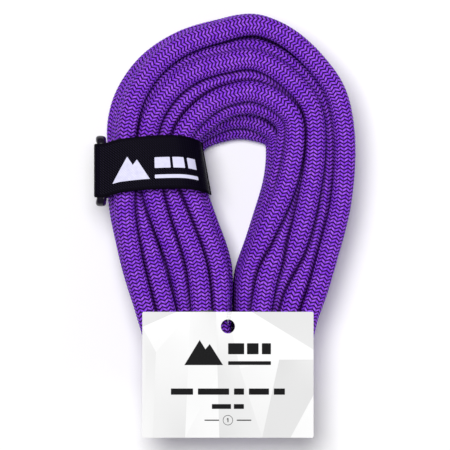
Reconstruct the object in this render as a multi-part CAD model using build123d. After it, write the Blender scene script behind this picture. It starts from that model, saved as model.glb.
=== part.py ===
from build123d import *
import math
import os

# Climbing-rope hank lying flat: +Y towards the arch, +Z up, origin under the middle of its box.

# rope
ROPE_D = 10.5
CORE_D = 8.0

# hank: outline of the whole coil seen from above, from the arch round to the right
HANK_H = 46.0
HANK_EDGE = 5.0
HANK_OUTLINE = [
    (13.2, 105.6), (31.5, 100.6), (49.6, 84.6), (60.4, 68.5), (64.0, 50.0), (64.65, 28.0),
    (60.6, 0.5), (51.6, -31.5), (45.6, -48.0), (43.6, -62.0), (33.5, -87.0), (2.0, -101.0),
    (-29.5, -87.0), (-39.6, -62.0), (-42.0, -50.0), (-52.8, -15.5), (-58.0, 8.5), (-59.8, 30.0),
    (-58.8, 52.5), (-54.0, 68.8), (-42.2, 84.6), (-25.2, 96.5), (-6.0, 102.2),
]
# eye of the coil, a teardrop that closes where the two legs meet
EYE_TOP = [(-9.8, 33.0), (-5.6, 38.6), (3.0, 41.3), (12.0, 41.8), (19.4, 39.4)]
EYE_RIGHT = [(20.2, 32.0), (16.2, 12.5), (10.8, -5.5), (4.8, -18.5)]
EYE_LEFT = [(-0.2, -5.5), (-6.4, 12.5), (-8.8, 24.5)]
# the upper layers of the arch stand further back than the lower ones
TERRACE_Z = 26.0
TERRACE = [(-9.0, 44.0), (-4.0, 52.0), (8.0, 57.0), (20.0, 53.0), (22.5, 44.0), (20.5, 34.0), (0.0, 30.0)]

# rope ends, in the top layer of the coil; each axis runs from the coil to the tip
TAIL_Z = 39.5
TAIL_A = [(-12.2, -31.5), (-10.2, -56.5)]
TAIL_B = [(35.5, -32.0), (29.2, -58.5)]
SLEEVE_D = 11.3
SLEEVE_L = 14.0
TIP_L = 1.2

# hook-and-loop strap round the left leg
STRAP_Y = 28.5
STRAP_W = 25.6
STRAP_T = 1.6
LEG_LEFT = -57.4
LEG_RIGHT = -13.0
LEG_BOTTOM = 1.8
LEG_TOP = 45.2
LEG_CORNER = 10.0
WAIST_REACH = 6.0
PATCH_T = 0.7
PATCH_X = (-49.0, -24.0)
PATCH_INSET = 2.0
SOFT_GAP = 0.3
SEWN_GAP = 0.1
SEWN_START = 9.5
SEWN_END = 22.0
EYE_DROP = 3.5
ROUNDING = 0.01
SEWN_BEND = 3.0
DIP_START = -50.0
DIP_END = -56.4
DIP_R = 2.0
FLAP_CORNER = 12.5

# rectangular ring that the strap doubles back through
RING_WIRE = 4.0
RING_Y = 27.9
RING_LENGTH = 35.2
RING_PITCH = 14.0
RING_CORNER = 2.2
BAR_GAP = 0.1

# swing tag
CARD_W = 85.0
CARD_H = 62.5
CARD_T = 0.6
CARD_X = 1.7
CARD_TOP_Y = -43.1
CARD_CORNER = 0.8
CARD_HOLE_D = 7.0
CARD_HOLE_DROP = 7.25
CARD_GAP = 0.4
LOOP_WIRE = 0.6
LOCK_SIZE = (2.0, 3.0, 2.0)
LOCK_ANGLE = 290.0

# stitching
STITCH_LENGTH = 2.2
STITCH_WIDTH = 0.7
STITCH_PROUD = 0.3
STITCH_COUNT = 8
STITCH_PITCH = 2.9
STITCH_INSET = 2.0
STITCH_DROP = 3.0

# derived places, and a distance that clears the whole hank
BEYOND = 80.0
MID = STRAP_T / 2
FOLD_R = RING_WIRE / 2 + BAR_GAP + MID
BAND_LEFT = LEG_LEFT - MID
BAND_RIGHT = LEG_RIGHT + MID
BAND_BOTTOM = LEG_BOTTOM - MID
BAND_TOP = LEG_TOP + MID
FLAP_Z = BAND_TOP + MID + 2 * PATCH_T + SOFT_GAP + MID
FLAP_X = BAND_RIGHT + STRAP_T + SOFT_GAP
RING_X = BAND_LEFT - FOLD_R
SEWN_X = BAND_LEFT - STRAP_T - SEWN_GAP
BAR_UPPER = FLAP_Z - FOLD_R
BAR_LOWER = BAR_UPPER - RING_PITCH
FLAP_START = RING_X + SOFT_GAP
FLAP_END_Z = 27.0
TAB_L = 8.0
TAB_T = 2.2
TAB_ROUND = 0.6
CARD_Z = HANK_H + CARD_GAP
HINGE_Z = CARD_Z + CARD_T / 2


def ribbon(points, radii, thickness, width):
    """Flat band that follows a rounded path in the XZ plane, centred on the strap's line."""
    section = trace(FilletPolyline(*points, radius=radii), thickness)
    return extrude(Plane.XZ.offset(-STRAP_Y) * section, amount=width / 2, both=True)


def slab(x_range, y_range, z_range):
    """Plain block between two corners."""
    size = [high - low for low, high in (x_range, y_range, z_range)]
    middle = [(low + high) / 2 for low, high in (x_range, y_range, z_range)]
    return Pos(*middle) * Box(*size)


def leg_core(width):
    """Left leg of the coil where the strap squeezes it."""
    middle = ((LEG_LEFT + LEG_RIGHT) / 2, (LEG_BOTTOM + LEG_TOP) / 2)
    plane = Plane.XZ.offset(-STRAP_Y)
    section = plane * Pos(*middle) * RectangleRounded(
        LEG_RIGHT - LEG_LEFT, LEG_TOP - LEG_BOTTOM, LEG_CORNER)
    return extrude(section, amount=width / 2, both=True)


def tail_frame(ends):
    """Plane at the start of a rope end, with its normal along the rope."""
    start, stop = [Vector(x, y, TAIL_Z) for x, y in ends]
    return Plane(origin=start, z_dir=stop - start), (stop - start).length


def rod(ends, diameter, start, stop):
    """Round piece along a rope end, between two distances from its start."""
    plane, _ = tail_frame(ends)
    return extrude(plane.offset(start) * Circle(diameter / 2), amount=stop - start)


def tail_parts(ends):
    """Braided sheath, core, shrink sleeve and sealed tip of one rope end."""
    _, length = tail_frame(ends)
    sheath = rod(ends, ROPE_D, 0, length) - rod(ends, CORE_D, 0, length)
    core = rod(ends, CORE_D, 0, length)
    sleeve = rod(ends, SLEEVE_D, length - SLEEVE_L, length) - rod(ends, ROPE_D, 0, length)
    tip = rod(ends, ROPE_D, length, length + TIP_L)
    return sheath, core, sleeve, tip


def tail_channel(ends):
    """Room for one rope end in the top layer of the coil."""
    _, length = tail_frame(ends)
    return rod(ends, ROPE_D, 0, length) + rod(ends, SLEEVE_D, length - SLEEVE_L, length + TIP_L)


def hank():
    """Outer shape of the coil, with its eye, the strap's waist and room for the rope ends."""
    with BuildPart() as part:
        with BuildSketch():
            with BuildLine():
                Spline(*HANK_OUTLINE, periodic=True)
            make_face()
        extrude(amount=HANK_H)
        rims = part.faces().sort_by(Axis.Z)
        chamfer([rims[0].outer_wire().edges(), rims[-1].outer_wire().edges()], HANK_EDGE / 2)
        with BuildSketch():
            with BuildLine():
                Spline(*EYE_LEFT[::-1][:1], *EYE_TOP, *EYE_RIGHT)
                Spline(EYE_RIGHT[-1], *EYE_LEFT)
            make_face()
        extrude(amount=HANK_H, mode=Mode.SUBTRACT)
        with BuildSketch(Plane.XY.offset(TERRACE_Z)):
            with BuildLine():
                Spline(*TERRACE, periodic=True)
            make_face()
        extrude(amount=HANK_H, mode=Mode.SUBTRACT)
    half = STRAP_W / 2 + SOFT_GAP
    waist = slab((-BEYOND, LEG_RIGHT + WAIST_REACH), (STRAP_Y - half, STRAP_Y + half), (-BEYOND, BEYOND))
    waist -= leg_core(STRAP_W + BEYOND)
    ring_half = RING_LENGTH / 2 + SOFT_GAP
    ring_room = slab((-BEYOND, BAND_LEFT - MID), (RING_Y - ring_half, RING_Y + ring_half),
                     (BAR_LOWER - RING_WIRE, BEYOND))
    return part.part - waist - ring_room - tail_channel(TAIL_A) - tail_channel(TAIL_B)


def strap_band():
    """Webbing from its sewn eye, round the leg, to the fold over the ring's upper bar."""
    low_bar = BAR_LOWER + FOLD_R
    left_side = RING_X - FOLD_R
    points = [
        (SEWN_X, BAR_LOWER - SEWN_END), (SEWN_X, BAR_LOWER - SEWN_START),
        (left_side, BAR_LOWER - EYE_DROP), (left_side, low_bar), (BAND_LEFT, low_bar),
        (BAND_LEFT, BAND_BOTTOM), (BAND_RIGHT, BAND_BOTTOM), (BAND_RIGHT, BAND_TOP),
        (DIP_START, BAND_TOP), (DIP_END, BAR_UPPER - FOLD_R), (left_side, BAR_UPPER - FOLD_R),
        (left_side, BAR_UPPER + FOLD_R), (RING_X, BAR_UPPER + FOLD_R),
    ]
    corner = LEG_CORNER + MID
    fold = FOLD_R - ROUNDING
    radii = [SEWN_BEND, SEWN_BEND, fold, fold, corner, corner, corner, SEWN_BEND, DIP_R, fold, fold]
    return ribbon(points, radii, STRAP_T, STRAP_W)


def strap_ring():
    """Rectangular ring of round wire, standing in the YZ plane beside the leg."""
    middle = Plane.YZ.offset(RING_X) * Pos(RING_Y, (BAR_UPPER + BAR_LOWER) / 2)
    frame = middle * RectangleRounded(RING_LENGTH - RING_WIRE, RING_PITCH, RING_CORNER)
    path = frame.face().outer_wire()
    profile = Plane(origin=path @ 0, z_dir=path % 0) * Circle(RING_WIRE / 2)
    return sweep(profile, path=path, transition=Transition.RIGHT)


def strap_flap():
    """Free end of the webbing, lying back over the front and down the inner side."""
    points = [(FLAP_START, FLAP_Z), (FLAP_X, FLAP_Z), (FLAP_X, FLAP_END_Z)]
    return ribbon(points, [FLAP_CORNER], STRAP_T, STRAP_W)


def flap_tab():
    """Doubled hem at the end of the flap."""
    outer = FLAP_X + MID
    block = slab((outer - STRAP_T, outer - STRAP_T + TAB_T),
                 (STRAP_Y - STRAP_W / 2, STRAP_Y + STRAP_W / 2), (FLAP_END_Z - TAB_L, FLAP_END_Z))
    return fillet(block.edges().filter_by(Axis.Y), TAB_ROUND)


def patch(z_low):
    """Flat hook or loop patch between the band and the flap."""
    half = STRAP_W / 2 - PATCH_INSET
    return slab(PATCH_X, (STRAP_Y - half, STRAP_Y + half), (z_low, z_low + PATCH_T))


def stitch_rows(x, heights):
    """Rows of short thread bars standing slightly proud of a face across X."""
    first = STRAP_Y - STITCH_PITCH * (STITCH_COUNT - 1) / 2
    bars = []
    for z in heights:
        for index in range(STITCH_COUNT):
            bar = Box(STITCH_PROUD, STITCH_LENGTH, STITCH_WIDTH)
            bars.append(Pos(x, first + index * STITCH_PITCH, z) * bar)
    return Compound(children=bars)


def tag_card():
    """Flat card with a punched hole, lying over the lower turn of the coil."""
    middle = (CARD_X, CARD_TOP_Y - CARD_H / 2)
    sheet = Pos(*middle) * RectangleRounded(CARD_W, CARD_H, CARD_CORNER)
    sheet -= Pos(CARD_X, CARD_TOP_Y - CARD_HOLE_DROP) * Circle(CARD_HOLE_D / 2)
    return extrude(Plane.XY.offset(CARD_Z) * sheet, amount=CARD_T)


def tag_loop():
    """Nylon loop through the card's hole, round its top edge and down among the strands."""
    place = Pos(CARD_X, CARD_TOP_Y, HINGE_Z) * Rot(0, 90, 0)
    return place * Torus(CARD_HOLE_DROP, LOOP_WIRE / 2)


def tag_lock():
    """Small head that closes the nylon loop, down between two strands."""
    angle = math.radians(LOCK_ANGLE)
    offset = Vector(0, -math.cos(angle), math.sin(angle)) * CARD_HOLE_DROP
    centre = Vector(CARD_X, CARD_TOP_Y, HINGE_Z) + offset
    head = Pos(*centre) * Rot(LOCK_ANGLE - 180, 0, 0) * Box(*LOCK_SIZE)
    return head - tag_loop()


def build():
    """Every node of the object, by name."""
    parts = {"rope_hank": hank()}
    for letter, ends in (("a", TAIL_A), ("b", TAIL_B)):
        sheath, core, sleeve, tip = tail_parts(ends)
        parts[f"end_{letter}_sheath"] = sheath
        parts[f"end_{letter}_core"] = core
        parts[f"end_{letter}_sleeve"] = sleeve
        parts[f"end_{letter}_sealed_tip"] = tip
    parts["strap_band"] = strap_band()
    parts["strap_ring"] = strap_ring()
    parts["loop_patch"] = patch(BAND_TOP + MID)
    parts["eye_stitches"] = stitch_rows(
        SEWN_X - MID - STITCH_PROUD / 2,
        (BAR_LOWER - SEWN_END + STITCH_INSET, BAR_LOWER - SEWN_START - STITCH_DROP))
    parts["strap_flap"] = strap_flap()
    parts["hook_patch"] = patch(FLAP_Z - MID - PATCH_T)
    parts["flap_tab"] = flap_tab()
    parts["tab_stitches"] = stitch_rows(
        FLAP_X + MID + TAB_T - STRAP_T + STITCH_PROUD / 2, (FLAP_END_Z - STITCH_INSET,))
    parts["tag_card"] = tag_card()
    parts["tag_loop"] = tag_loop()
    parts["tag_lock"] = tag_lock()
    return parts


os.makedirs("parts", exist_ok=True)
for name, shape in build().items():
    export_step(shape, f"parts/{name}.step")
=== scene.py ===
import math
from itertools import product

import bmesh
import bpy
import numpy as np
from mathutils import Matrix, Vector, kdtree
from mathutils.geometry import delaunay_2d_cdt


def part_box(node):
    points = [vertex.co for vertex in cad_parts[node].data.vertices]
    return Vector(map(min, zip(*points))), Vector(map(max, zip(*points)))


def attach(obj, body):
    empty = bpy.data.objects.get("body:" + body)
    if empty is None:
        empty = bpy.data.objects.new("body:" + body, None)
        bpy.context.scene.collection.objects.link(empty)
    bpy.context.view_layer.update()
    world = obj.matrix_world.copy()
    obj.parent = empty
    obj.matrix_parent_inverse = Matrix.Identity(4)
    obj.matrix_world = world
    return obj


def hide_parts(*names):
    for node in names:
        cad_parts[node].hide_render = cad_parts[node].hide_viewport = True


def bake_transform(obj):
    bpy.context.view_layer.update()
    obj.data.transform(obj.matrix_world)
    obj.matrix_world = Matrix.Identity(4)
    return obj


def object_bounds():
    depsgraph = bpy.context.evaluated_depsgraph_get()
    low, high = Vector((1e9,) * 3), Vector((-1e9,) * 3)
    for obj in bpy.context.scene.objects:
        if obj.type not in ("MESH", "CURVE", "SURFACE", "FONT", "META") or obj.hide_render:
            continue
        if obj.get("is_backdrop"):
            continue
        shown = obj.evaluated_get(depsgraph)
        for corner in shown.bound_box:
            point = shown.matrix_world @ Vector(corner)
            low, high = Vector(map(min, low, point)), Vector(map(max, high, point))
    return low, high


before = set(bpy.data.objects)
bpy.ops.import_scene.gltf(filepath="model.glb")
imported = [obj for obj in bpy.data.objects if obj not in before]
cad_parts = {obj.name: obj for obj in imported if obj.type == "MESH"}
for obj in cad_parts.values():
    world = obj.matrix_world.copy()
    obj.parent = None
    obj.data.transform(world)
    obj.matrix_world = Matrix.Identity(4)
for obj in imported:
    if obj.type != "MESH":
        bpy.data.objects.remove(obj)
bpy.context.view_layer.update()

# A climbing-rope hank that lies flat: metres, +Y towards the arch, +Z up, towards the camera.

MM = 0.001
SAME_POINT = 1e-7

# rope
ROPE_D = 10.5 * MM
ROPE_R = ROPE_D / 2
CORE_R = 3.9 * MM
CORE_L = 24 * MM
HANK_H = 46 * MM

# braid of the sheath: the columns run along the rope, and a row is one float and its gap
COLUMNS = 16
ROW = 1.85 * MM
ZIGZAG = 0.66
RELIEF = 0.42 * MM
FLOAT_FLATNESS = 0.7
COLUMN_DIP = 0.25
RINGS_PER_ROW = 3
VERTS_PER_COLUMN = 2
TWIST_PER_M = 1.6

# painted shade between strands: a place on the rope is fully shaded within this distance of another strand's middle,
# and unshaded from the second on
SHADED_WITHIN = 5.35 * MM
UNSHADED_FROM = 8.0 * MM
NEAR_STEP = 2.5 * MM
SAME_STRAND = 2.2 * ROPE_D

# rope ends, as in the CAD model: each axis runs from the coil to the tip
TAIL_Z = 39.5 * MM
TAIL_A = [(-12.2 * MM, -31.5 * MM), (-10.2 * MM, -56.5 * MM)]
TAIL_B = [(35.5 * MM, -32.0 * MM), (29.2 * MM, -58.5 * MM)]
SLEEVE_L = 14 * MM
SLEEVE_WALL = 0.4 * MM
TIP_PROFILE = [(0.02, 1), (0.35, 1.012), (0.7, 0.97), (0.95, 0.88), (1.1, 0.74), (1.19, 0.5), (1.2, 0.2)]

# the coil's inner and outer edge in mm, clockwise from the foot of the left leg: x, y inside, x, y outside
EDGES = [
    (3.6, -56, -40.3, -58), (3.9, -40, -45.4, -42), (4.5, -20, -52.4, -20.5), (-2, 0.5, -57, -1),
    (-6.8, 15.5, -59.2, 14), (-12.4, 30, -58, 30), (-8.2, 40.4, -60.6, 46.2), (-2.5, 42.7, -57.2, 65.8),
    (3, 42.9, -44.9, 85.3), (6.8, 43, -25.5, 98.8), (9.7, 42.9, -3.4, 104.9), (12.2, 42.7, 16.2, 107.8),
    (15.8, 42.4, 35.8, 98.6), (20, 41.6, 52.4, 82), (21.8, 38.8, 61.2, 67.3), (21.3, 30, 65, 48),
    (19.2, 19, 65.2, 28), (14.9, 6, 62.8, 7), (9.7, -10, 57.8, -12), (4.7, -24, 52.2, -32),
    (3.9, -41, 47.3, -46), (3.6, -56, 44.1, -60), (3.4, -58.6, 38.6, -80), (3, -59.4, 24, -95.5),
    (2.8, -59.6, 2, -101), (3, -59.4, -20, -95.5), (3.4, -58.6, -34.6, -79),
]
STRAP_EDGE = 5
SHOULDER = 6.3
SHOULDER_REACH = 1.7
SHOULDER_SLOPE = 0.24
ARCH = (5, 15)
LEG_END = 21
BETWEEN = 2

# how the turns are packed, in mm: they sink and spread a little each step, and push each other apart
TURNS = 20
SEED = 4
STEPS = 700
SINK = 0.22
SINK_LEFT = 0.03
PUSH = 0.6
TOUCH = 10.1
TOUCH_NEAR_STRAP = 9.5
TOUCH_STRAP = 9.2
TOUCH_TIGHT = 9.15
STRAP_ROOM = {"below": 1.8, "above": 0.8, "inside": 1.6, "outside": 0.3}
ARCH_LEAN = 0.62
LEAN_FROM = 4
ARCH_SPREAD = 0.5
SPREAD_HEIGHT = 45
WIDEN_MOST = 1.12
LEVEL = 9.0
COLUMNS_WIDE = 4.5
# column and level of each turn, in the order in which the rope is wound
PLACES = [(1, 3), (0, 3), (0, 2), (0, 1), (0, 0), (1, 0), (1, 1), (1, 2), (2, 3), (2, 2), (2, 1), (2, 0),
          (3, 0), (4, 0), (4, 1), (3, 1), (3, 2), (4, 2), (4, 3), (3, 3)]


def unit(vectors):
    """Vectors at length one."""
    return vectors / np.linalg.norm(vectors, axis=-1, keepdims=True)


def between(distance, at, values):
    """Rows of values at distances between those of the rows."""
    return np.stack([np.interp(distance, at, column) for column in values.T], -1)


def measured(points):
    """Distance along a row of points to each of them."""
    return np.concatenate([[0], np.cumsum(np.linalg.norm(np.diff(points, axis=0), axis=1))])


def sides(loop):
    """Each corner of a closed loop with the next one."""
    return zip(loop, (*loop[1:], loop[0]))


def stations():
    """Inner and outer edge of the coil at even steps round it, from a smooth closed curve."""
    here = np.array(EDGES, float)
    before, after, beyond = (np.roll(here, -k, axis=0) for k in (-1, 1, 2))
    steps = [0.5 * (2 * here + (after - before) * t + (2 * before - 5 * here + 4 * after - beyond) * t * t
                    + (3 * here - before - 3 * after + beyond) * t ** 3) for t in np.arange(BETWEEN) / BETWEEN]
    steps = np.stack(steps, 1).reshape(-1, 4)
    return steps[:, :2], steps[:, 2:]


def on_section(inner, direction, tail):
    """How far from the inner edge a rope end's axis crosses one station, in mm."""
    start, stop = (np.array(p) / MM for p in tail)
    run = stop - start
    across = np.array([[direction[0], -run[0]], [direction[1], -run[1]]])
    return float(np.linalg.solve(across, start - inner)[0])


def wound(radius, span):
    """Even columns and levels that sway a little, and change place at the foot of each turn, in mm."""
    count = len(span)
    end = LEG_END * BETWEEN
    along = np.arange(count)
    random = np.random.default_rng(SEED)
    share = np.clip((along - end) / (count - end), 0, 1)
    share = share * share * (3 - 2 * share)
    column, level = np.array(PLACES).T[..., None]
    next_column, next_level = np.roll(column, -1, axis=0), np.roll(level, -1, axis=0)
    across = (column + (next_column - column) * share + 0.5 * (level % 2)) / COLUMNS_WIDE * span + radius
    up = radius + LEVEL * (level + (next_level - level) * share)
    across += random.normal(0, 0.6, (TURNS, 1))
    sway = random.normal(0, 1.0, (TURNS, 8))
    for wave in range(4):
        angle = 2 * math.pi * (wave + 1) * along / count
        across += sway[:, 2 * wave:2 * wave + 1] * np.sin(angle) * 1.6 / (wave + 1)
        up += sway[:, 2 * wave + 1:2 * wave + 2] * np.cos(angle) / (wave + 1)
    return across, up


def limits(radius, width):
    """Where the turns may lie: closer together under the strap and at the foot, and leaning inside the arch."""
    count = len(width)
    end = LEG_END * BETWEEN
    along = np.arange(count)
    strap = STRAP_EDGE * BETWEEN
    under = slice(strap - 1, strap + 2)
    touch = np.full(count, TOUCH)
    touch[strap - 3:strap + 4] = TOUCH_NEAR_STRAP
    touch[under] = TOUCH_STRAP
    touch[end - 2:] = TOUCH_TIGHT
    touch[:2] = TOUCH_TIGHT
    lowest = np.full(count, radius)
    highest = np.full(count, HANK_H / MM - radius)
    lowest[under] += STRAP_ROOM["below"]
    highest[under] -= STRAP_ROOM["above"]
    nearest = np.full(count, radius)
    farthest = width - radius
    nearest[under] += STRAP_ROOM["inside"]
    farthest[strap] -= STRAP_ROOM["outside"]
    slope = SHOULDER_SLOPE * np.clip(1 - np.abs(along / BETWEEN - SHOULDER) / SHOULDER_REACH, 0, 1)
    first, last = (k * BETWEEN for k in ARCH)
    arch = np.clip((along - first) / (last - first), 0, 1)
    lean = ARCH_LEAN * np.sin(math.pi * arch) ** 0.6
    lean[last - 2:end] = np.maximum(lean[last - 2:end], 0.1)
    spread = ARCH_SPREAD * np.sin(math.pi * np.clip((along - first) / (11 * BETWEEN), 0, 1))
    spread[2 * BETWEEN:8 * BETWEEN] = np.maximum(spread[2 * BETWEEN:8 * BETWEEN], 0.16)
    spread[16 * BETWEEN:] = 0.08
    return touch, lowest, highest, nearest, farthest, slope, lean, spread


def coil_route():
    """The rope's route through all its turns, packed as it would be wound: points in metres."""
    inner, outer = stations()
    count = len(inner)
    width = np.linalg.norm(outer - inner, axis=1)
    direction = (outer - inner) / width[:, None]
    radius = ROPE_R / MM
    span = width - 2 * radius
    end = LEG_END * BETWEEN
    across, up = wound(radius, span)
    touch, lowest, highest, nearest, farthest, slope, lean, spread = limits(radius, width)

    active = np.ones((TURNS, count), bool)
    active[-1, end + 1:] = False
    used = TURNS * count - (count - end - 1)
    one, other = np.triu_indices(TURNS, 1)
    both = active[one] & active[other]
    pins = [(turn, k, on_section(inner[k], direction[k], tail))
            for turn, tail, stretch in ((0, TAIL_A, range(4)), (TURNS - 1, TAIL_B, range(end - 3, end + 1)))
            for k in stretch]

    for step in range(STEPS):
        fade = 1 - step / STEPS
        up -= SINK * fade + SINK_LEFT
        across += spread * fade * (0.4 + 0.6 * up / SPREAD_HEIGHT)
        for _ in range(2):
            share = (across - radius) / span
            for values in (share, up):
                line = values.reshape(-1)[:used]
                line[1:-1] = line[1:-1] + 0.25 * (line[:-2] + line[2:] - 2 * line[1:-1])
            across = share * span + radius
        for _ in range(4):
            side = across[one] - across[other]
            rise = up[one] - up[other]
            apart = np.sqrt(side * side + rise * rise) + 1e-6
            push = np.where(both & (apart < touch), 0.5 * (touch - apart) / apart, 0) * PUSH
            for values, change in ((across, push * side), (up, push * rise)):
                np.add.at(values, one, change)
                np.add.at(values, other, -change)
            for turn, place, where in pins:
                across[turn, place] = where
                up[turn, place] = TAIL_Z / MM
            up = np.clip(up, lowest, highest)
            wall = nearest + lean * np.maximum(up - radius - LEAN_FROM, 0)
            across = np.clip(across, wall, farthest - slope * (up - radius))
    # the outermost turn reaches the outline
    outermost = np.where(active, across, 0).max(0)
    ratio = np.clip((farthest - nearest) / (outermost - nearest), 1, WIDEN_MOST)
    ratio = np.convolve(np.concatenate([ratio[-2:], ratio, ratio[:2]]), (0.1, 0.2, 0.4, 0.2, 0.1), "valid")
    across = nearest + (across - nearest) * ratio
    for turn, place, where in pins:
        across[turn, place] = where

    points = np.zeros((TURNS, count, 3))
    points[..., :2] = inner + across[..., None] * direction
    points[..., 2] = up
    return points.reshape(-1, 3)[:used] * MM


def nurbs_line(name, points, fine=8):
    """Points of a smooth NURBS line that has these control points."""
    curve = bpy.data.curves.new(name, "CURVE")
    curve.dimensions = "3D"
    curve.resolution_u = fine
    spline = curve.splines.new("NURBS")
    spline.points.add(len(points) - 1)
    for point, place in zip(spline.points, points):
        point.co = (*place, 1)
    spline.order_u = 3
    spline.use_endpoint_u = True
    carrier = bpy.data.objects.new(name, curve)
    mesh = bpy.data.meshes.new_from_object(carrier)
    line = np.zeros(len(mesh.vertices) * 3)
    mesh.vertices.foreach_get("co", line)
    bpy.data.objects.remove(carrier)
    bpy.data.meshes.remove(mesh)
    bpy.data.curves.remove(curve)
    return line.reshape(-1, 3)


class Line:
    """A smooth line with its length and a frame that turns as little as it can."""

    def __init__(self, points):
        self.points = points[np.diff(measured(points), prepend=-1) > SAME_POINT]
        self.at = measured(self.points)
        self.length = float(self.at[-1])
        self.tangent = unit(np.gradient(self.points, self.at, axis=0))
        # a side direction carried along the line without twist
        self.side = np.zeros_like(self.points)
        side = np.cross(self.tangent[0], (0, 0, 1) if abs(self.tangent[0, 2]) < 0.9 else (0, 1, 0))
        for index, tangent in enumerate(self.tangent):
            side = side - tangent * np.dot(side, tangent)
            side = side / math.sqrt(np.dot(side, side))
            self.side[index] = side

    def frame(self, distance):
        """Place, side and upward direction at each distance along the line."""
        place, side, tangent = (between(distance, self.at, values)
                                for values in (self.points, self.side, self.tangent))
        place = place + tangent * (distance - np.clip(distance, 0, self.length))[..., None]
        side = unit(side)
        return place, side, unit(np.cross(tangent, side))

    def surface(self, distance, radius, angle):
        """Points round the line."""
        place, side, upward = self.frame(distance)
        return place + radius[..., None] * (np.cos(angle)[..., None] * side + np.sin(angle)[..., None] * upward)


def linked(name, data):
    """A new object in the scene."""
    thing = bpy.data.objects.new(name, data)
    bpy.context.scene.collection.objects.link(thing)
    return thing


def mesh_object(name, verts, faces, smooth=True):
    """A new mesh object, from corners and faces."""
    mesh = bpy.data.meshes.new(name)
    mesh.from_pydata(np.asarray(verts).tolist(), [], faces)
    mesh.shade_smooth() if smooth else mesh.shade_flat()
    return linked(name, mesh)


def grid_mesh(name, verts, rings, around, caps=True, closed=False):
    """A tube from rings of corners, and its quads."""
    ring, spot = np.meshgrid(np.arange(rings if closed else rings - 1), np.arange(around), indexing="ij")
    after, following = (spot + 1) % around, (ring + 1) % rings
    quads = np.stack([ring * around + spot, ring * around + after,
                      following * around + after, following * around + spot], -1).reshape(-1, 4)
    faces = quads.tolist()
    if caps:
        total = rings * around
        far = total - around
        faces += [((k + 1) % around, k, total) for k in range(around)]
        faces += [(far + k, far + (k + 1) % around, total + 1) for k in range(around)]
        verts = np.concatenate([verts, verts[:around].mean(0)[None], verts[-around:].mean(0)[None]])
    return mesh_object(name, verts, faces), quads


def zigzag(column):
    """The braid's zigzag, from 0 to 1 and back over two columns."""
    return 1 - np.abs(column % 2 - 1)


def braided_rope(name, line, roll):
    """The sheath: rings of corners that follow the zigzag of the braid, high on a float and low in a gap."""
    rows = int(line.length / ROW)
    rings = rows * RINGS_PER_ROW + 1
    around = COLUMNS * VERTS_PER_COLUMN
    ring = np.arange(rings)[:, None]
    spot = np.arange(around)[None]
    column = spot / VERTS_PER_COLUMN
    ends = np.clip(np.minimum(ring, rings - 1 - ring) / (4 * RINGS_PER_ROW), 0, 1)
    distance = line.length / rows * (ring / RINGS_PER_ROW + ZIGZAG * zigzag(column) * ends)
    distance = np.clip(distance, 0, line.length)
    phase = (ring % RINGS_PER_ROW) / RINGS_PER_ROW + 0 * spot
    height = np.sin(math.pi * phase) ** FLOAT_FLATNESS
    dip = COLUMN_DIP * (np.abs(column - np.round(column)) < 0.01)
    radius = ROPE_R - RELIEF * (1 - height) - RELIEF * dip * height
    angle = 2 * math.pi * spot / around + roll(distance)
    rope, quads = grid_mesh(name, line.surface(distance, radius, angle).reshape(-1, 3), rings, around)
    # painted shade between strands that lie against each other, kept in the 'free' attribute, which darkens the
    # sheath's colour
    free = painted_shade_between_strands(line, distance, angle)
    values = np.ones(len(rope.data.vertices), np.float32)
    values[:free.size] = free.reshape(-1)
    rope.data.attributes.new("free", "FLOAT", "POINT").data.foreach_set("value", values)

    # the braid's own coordinates: columns round the rope, and rows along it
    corner_column = (quads % around) / VERTS_PER_COLUMN
    corner_column[:, 1:3] = corner_column[:, 0:1] + 1 / VERTS_PER_COLUMN
    corner_row = (quads // around) / RINGS_PER_ROW + ZIGZAG * zigzag(corner_column)
    coords = np.stack([corner_column, corner_row], -1).reshape(-1)
    values = np.zeros(len(rope.data.loops) * 2, np.float32)
    values[:len(coords)] = coords
    rope.data.uv_layers.new(name="braid").data.foreach_set("uv", values)
    return rope, line.frame(distance[:, 0])[0]


def painted_shade_between_strands(line, distance, angle):
    """Painted shade between strands, for each place on the rope's surface: 0 where another strand's middle lies close
    and it is fully shaded, 1 where it is unshaded.
    """
    steps = int(line.length / NEAR_STEP)
    at = np.linspace(0, line.length, steps)
    middles, side, upward = line.frame(at)
    tree = kdtree.KDTree(steps)
    for index, middle in enumerate(middles):
        tree.insert(middle, index)
    tree.balance()
    turn = np.interp(at, distance[:, 0], angle[:, 0])
    spots = 2 * math.pi * np.arange(distance.shape[1]) / distance.shape[1]
    free = np.ones((steps, len(spots)))
    for index, middle in enumerate(middles):
        near = [k for _, k, _ in tree.find_range(middle, ROPE_R + UNSHADED_FROM)
                if abs(at[k] - at[index]) > SAME_STRAND]
        if near:
            round_it = (turn[index] + spots)[:, None]
            skin = middle + ROPE_R * (np.cos(round_it) * side[index] + np.sin(round_it) * upward[index])
            gap = np.linalg.norm(skin[:, None] - middles[near][None], axis=2).min(1)
            free[index] = np.clip((gap - SHADED_WITHIN) / (UNSHADED_FROM - SHADED_WITHIN), 0, 1)
    return np.stack([np.interp(distance[:, k], at, free[:, k]) for k in range(len(spots))], -1)


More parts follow.
